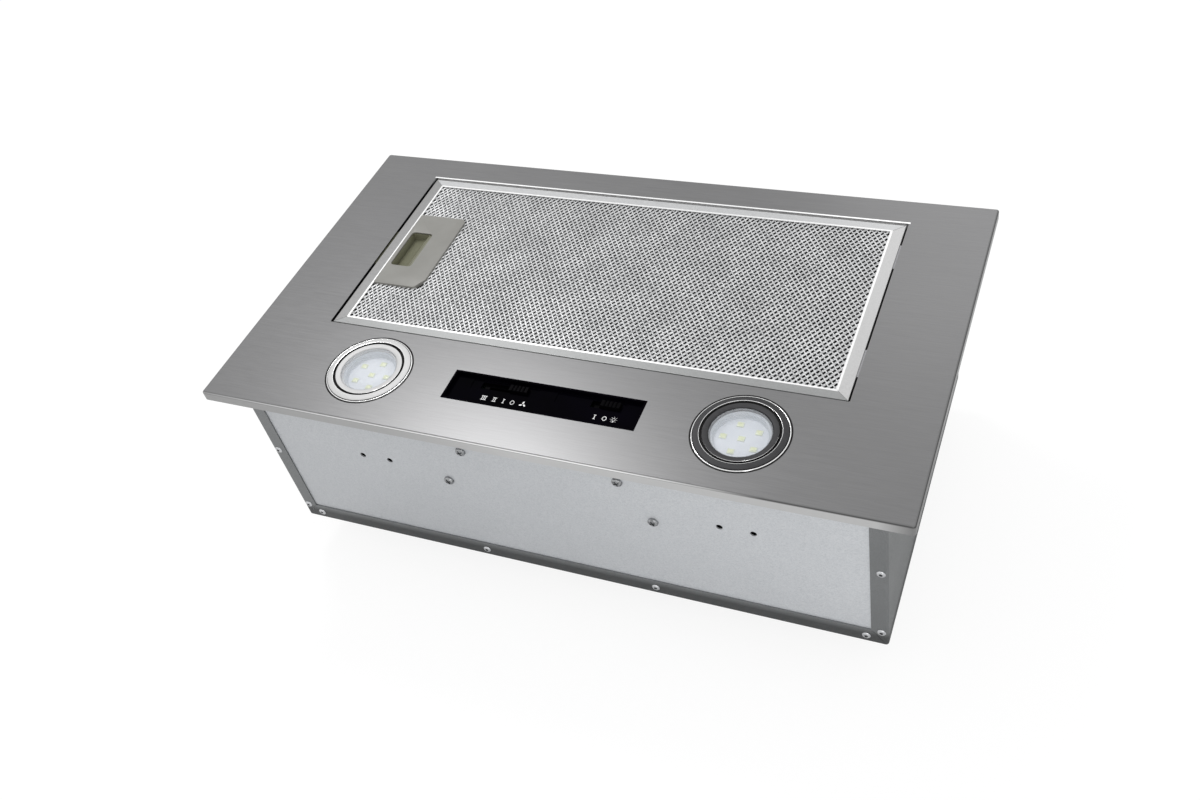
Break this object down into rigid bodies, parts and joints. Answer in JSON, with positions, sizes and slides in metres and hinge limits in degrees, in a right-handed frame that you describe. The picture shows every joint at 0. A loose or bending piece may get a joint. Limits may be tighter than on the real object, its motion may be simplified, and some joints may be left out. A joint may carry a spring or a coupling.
{
  "type": "range hood insert",
  "caption": "Built-in range hood insert with a swing-out mesh filter, two round lamps, slide levers, a centrifugal blower and a round duct collar with flaps",
  "frame": {"origin": "the middle of the plane on which the face plate's folded rim seats against the cabinet", "axes": "X along the width, -Y towards the user's edge with the lamps and levers, +Z out of the face plate; the part lies on its duct side with the face up, as pictured, and is turned over to be built in"},
  "size_m": [0.525, 0.3, 0.1955],
  "materials": {
    "plate_paint": "satin metallic",
    "galvanised": "spangled zinc",
    "fastener_metal": "plain",
    "filter_metal": "satin",
    "latch_plastic": "satin",
    "spring_steel": "plain",
    "bezel_metal": "satin",
    "lens": "frosted",
    "lamp_metal": "cast",
    "board": "matte",
    "led": "clear resin",
    "panel_gloss": "gloss",
    "lever_plastic": "gloss",
    "dark_plastic": "fine grain",
    "light_plastic": "matte",
    "gland_rubber": "matte",
    "wheel_plastic": "matte",
    "motor_metal": "satin",
    "shaft_steel": "ground",
    "flap_plastic": "matte"
  },
  "bodies": {
    "housing": {"face_plate": "plate_paint", "housing_wrapper": "galvanised", "front_wall": "galvanised", "back_wall": "galvanised", "rivets": "fastener_metal", "wall_screws": "fastener_metal", "lamp_bezel_left": "bezel_metal", "lamp_lens_left": "lens", "lamp_cup_left": "lamp_metal", "lamp_board_left": "board", "lamp_leds_left": "led", "lamp_clips_left": "spring_steel", "lamp_bezel_right": "bezel_metal", "lamp_lens_right": "lens", "lamp_cup_right": "lamp_metal", "lamp_board_right": "board", "lamp_leds_right": "led", "lamp_clips_right": "spring_steel", "panel_frame": "panel_gloss", "switch_board": "board", "slide_switches": "dark_plastic", "control_bracket": "galvanised", "lamp_driver": "light_plastic", "terminal_box": "dark_plastic", "capacitor": "light_plastic", "cable_gland": "gland_rubber", "scroll_left": "dark_plastic", "scroll_right": "dark_plastic", "scroll_screws": "fastener_metal", "motor_body": "motor_metal", "motor_bracket": "galvanised", "motor_screws": "fastener_metal", "duct_collar": "dark_plastic", "duct_screws": "fastener_metal", "flap_pin": "shaft_steel"},
    "filter": {"filter_frame": "filter_metal", "filter_mesh": "filter_metal", "filter_core": "filter_metal", "filter_tabs": "filter_metal", "latch_housing": "latch_plastic", "latch_spring": "spring_steel"},
    "latch": {"latch_catch": "latch_plastic"},
    "fan_lever": {"fan_lever": "lever_plastic"},
    "light_lever": {"light_lever": "lever_plastic"},
    "rotor": {"fan_wheel": "wheel_plastic", "motor_shaft": "shaft_steel"},
    "flap_front": {"duct_flap_front": "flap_plastic"},
    "flap_back": {"duct_flap_back": "flap_plastic"}
  },
  "joints": [
    {"name": "filter_open", "type": "hinge", "parent": "housing", "child": "filter", "pos_m": [0.2017, 0.0315, 0.0075], "axis": [0, 1, 0], "range_deg": [0, 60]},
    {"name": "latch_slide", "type": "slide", "parent": "filter", "child": "latch", "axis": [1, 0, 0], "range_m": [0, 0.006], "stiffness_N_per_m": 300, "springref_m": -0.004, "deforming": ["latch_spring"]},
    {"name": "fan_slide", "type": "slide", "parent": "housing", "child": "fan_lever", "axis": [1, 0, 0], "range_m": [-0.0222, 0]},
    {"name": "light_slide", "type": "slide", "parent": "housing", "child": "light_lever", "axis": [1, 0, 0], "range_m": [-0.0072, 0]},
    {"name": "rotor_spin", "type": "hinge", "parent": "housing", "child": "rotor", "pos_m": [0, 0.027, -0.082], "axis": [1, 0, 0], "continuous": true},
    {"name": "flap_front_swing", "type": "hinge", "parent": "housing", "child": "flap_front", "pos_m": [0, 0.01026, -0.165], "axis": [1, 0, 0], "range_deg": [0, 80]},
    {"name": "flap_back_swing", "type": "hinge", "parent": "housing", "child": "flap_back", "pos_m": [0, 0.01026, -0.165], "axis": [-1, 0, 0], "range_deg": [0, 80]}
  ]
}
